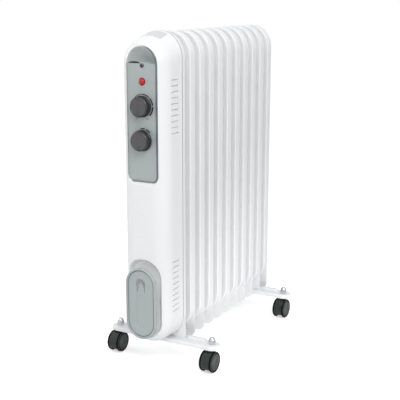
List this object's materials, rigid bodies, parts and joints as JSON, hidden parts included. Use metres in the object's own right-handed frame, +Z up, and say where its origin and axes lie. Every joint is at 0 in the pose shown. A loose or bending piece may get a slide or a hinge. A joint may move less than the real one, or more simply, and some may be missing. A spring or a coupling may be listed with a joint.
{
  "type": "oil filled radiator heater",
  "caption": "Upright oil filled radiator heater: round topped steel fins behind a control box with knobs, pilot lamp and cord winder, on foot bars with swivel casters.",
  "frame": {"origin": "centre of the footprint box at floor level, the wheels' lowest points at Z = 0", "axes": "-Y is the front with the control box, +Y the stack of fins, +X to the right of someone facing the control box, +Z up"},
  "size_m": [0.245, 0.473, 0.6452],
  "materials": {
    "white_paint": "smooth white powder coat",
    "white_plastic": "smooth white, slightly glossy",
    "gray_plastic": "satin light gray",
    "knob_plastic": "dark gray with a spun face",
    "red_lens": "clear red",
    "dark_plastic": "black",
    "plated_steel": "zinc plated",
    "chrome": "polished",
    "caster_plastic": "black nylon, slightly worn"
  },
  "bodies": {
    "heater": {"fin_01": "white_paint", "fin_02": "white_paint", "fin_03": "white_paint", "fin_04": "white_paint", "fin_05": "white_paint", "fin_06": "white_paint", "fin_07": "white_paint", "fin_08": "white_paint", "fin_09": "white_paint", "fin_10": "white_paint", "fin_11": "white_paint", "collector_bushes": "white_paint", "front_foot": "white_paint", "rear_foot": "white_paint", "box_shell": "white_plastic", "control_panel": "gray_plastic", "grip_scoop": "gray_plastic", "winder_plate": "gray_plastic", "winder_core": "gray_plastic", "lamp_lens": "red_lens", "cable_gland": "dark_plastic", "terminal_block": "dark_plastic", "tilt_switch": "dark_plastic", "thermostat_body": "dark_plastic", "selector_body": "dark_plastic", "lamp_holder": "dark_plastic", "box_bracket": "plated_steel", "heating_element": "plated_steel", "filler_plug": "plated_steel", "cover_screws": "plated_steel", "winder_screws": "plated_steel", "control_nuts": "plated_steel", "thermal_cutout": "plated_steel", "u_bolts": "plated_steel", "wing_nuts": "plated_steel", "caster_studs": "plated_steel", "cap_nuts": "chrome"},
    "thermostat": {"thermostat_shaft": "plated_steel", "thermostat_knob": "knob_plastic"},
    "selector": {"selector_shaft": "plated_steel", "selector_knob": "knob_plastic"},
    "front_left_caster": {"front_left_hood": "caster_plastic", "front_left_axle": "plated_steel"},
    "front_left_wheel_a": {"front_left_wheel_left": "caster_plastic"},
    "front_left_wheel_b": {"front_left_wheel_right": "caster_plastic"},
    "front_right_caster": {"front_right_hood": "caster_plastic", "front_right_axle": "plated_steel"},
    "front_right_wheel_a": {"front_right_wheel_left": "caster_plastic"},
    "front_right_wheel_b": {"front_right_wheel_right": "caster_plastic"},
    "rear_left_caster": {"rear_left_hood": "caster_plastic", "rear_left_axle": "plated_steel"},
    "rear_left_wheel_a": {"rear_left_wheel_left": "caster_plastic"},
    "rear_left_wheel_b": {"rear_left_wheel_right": "caster_plastic"},
    "rear_right_caster": {"rear_right_hood": "caster_plastic", "rear_right_axle": "plated_steel"},
    "rear_right_wheel_a": {"rear_right_wheel_left": "caster_plastic"},
    "rear_right_wheel_b": {"rear_right_wheel_right": "caster_plastic"}
  },
  "joints": [
    {"name": "thermostat_turn", "type": "hinge", "parent": "heater", "child": "thermostat", "pos_m": [0, -0.22, 0.5124], "axis": [0, 1, 0], "range_deg": [-135, 135]},
    {"name": "selector_turn", "type": "hinge", "parent": "heater", "child": "selector", "pos_m": [0, -0.22, 0.4505], "axis": [0, 1, 0], "range_deg": [-55, 50]},
    {"name": "front_left_swivel", "type": "hinge", "parent": "heater", "child": "front_left_caster", "pos_m": [-0.106, -0.1485, 0.035], "axis": [0, 0, 1], "continuous": true},
    {"name": "front_left_roll_a", "type": "hinge", "parent": "front_left_caster", "child": "front_left_wheel_a", "pos_m": [-0.106, -0.1592, 0.0206], "axis": [1, 0, 0], "continuous": true},
    {"name": "front_left_roll_b", "type": "hinge", "parent": "front_left_caster", "child": "front_left_wheel_b", "pos_m": [-0.106, -0.1592, 0.0206], "axis": [1, 0, 0], "continuous": true},
    {"name": "front_right_swivel", "type": "hinge", "parent": "heater", "child": "front_right_caster", "pos_m": [0.106, -0.1485, 0.035], "axis": [0, 0, 1], "continuous": true},
    {"name": "front_right_roll_a", "type": "hinge", "parent": "front_right_caster", "child": "front_right_wheel_a", "pos_m": [0.106, -0.1592, 0.0206], "axis": [1, 0, 0], "continuous": true},
    {"name": "front_right_roll_b", "type": "hinge", "parent": "front_right_caster", "child": "front_right_wheel_b", "pos_m": [0.106, -0.1592, 0.0206], "axis": [1, 0, 0], "continuous": true},
    {"name": "rear_left_swivel", "type": "hinge", "parent": "heater", "child": "rear_left_caster", "pos_m": [-0.106, 0.189, 0.035], "axis": [0, 0, 1], "continuous": true},
    {"name": "rear_left_roll_a", "type": "hinge", "parent": "rear_left_caster", "child": "rear_left_wheel_a", "pos_m": [-0.106, 0.1783, 0.0206], "axis": [1, 0, 0], "continuous": true},
    {"name": "rear_left_roll_b", "type": "hinge", "parent": "rear_left_caster", "child": "rear_left_wheel_b", "pos_m": [-0.106, 0.1783, 0.0206], "axis": [1, 0, 0], "continuous": true},
    {"name": "rear_right_swivel", "type": "hinge", "parent": "heater", "child": "rear_right_caster", "pos_m": [0.106, 0.189, 0.035], "axis": [0, 0, 1], "continuous": true},
    {"name": "rear_right_roll_a", "type": "hinge", "parent": "rear_right_caster", "child": "rear_right_wheel_a", "pos_m": [0.106, 0.1783, 0.0206], "axis": [1, 0, 0], "continuous": true},
    {"name": "rear_right_roll_b", "type": "hinge", "parent": "rear_right_caster", "child": "rear_right_wheel_b", "pos_m": [0.106, 0.1783, 0.0206], "axis": [1, 0, 0], "continuous": true}
  ]
}
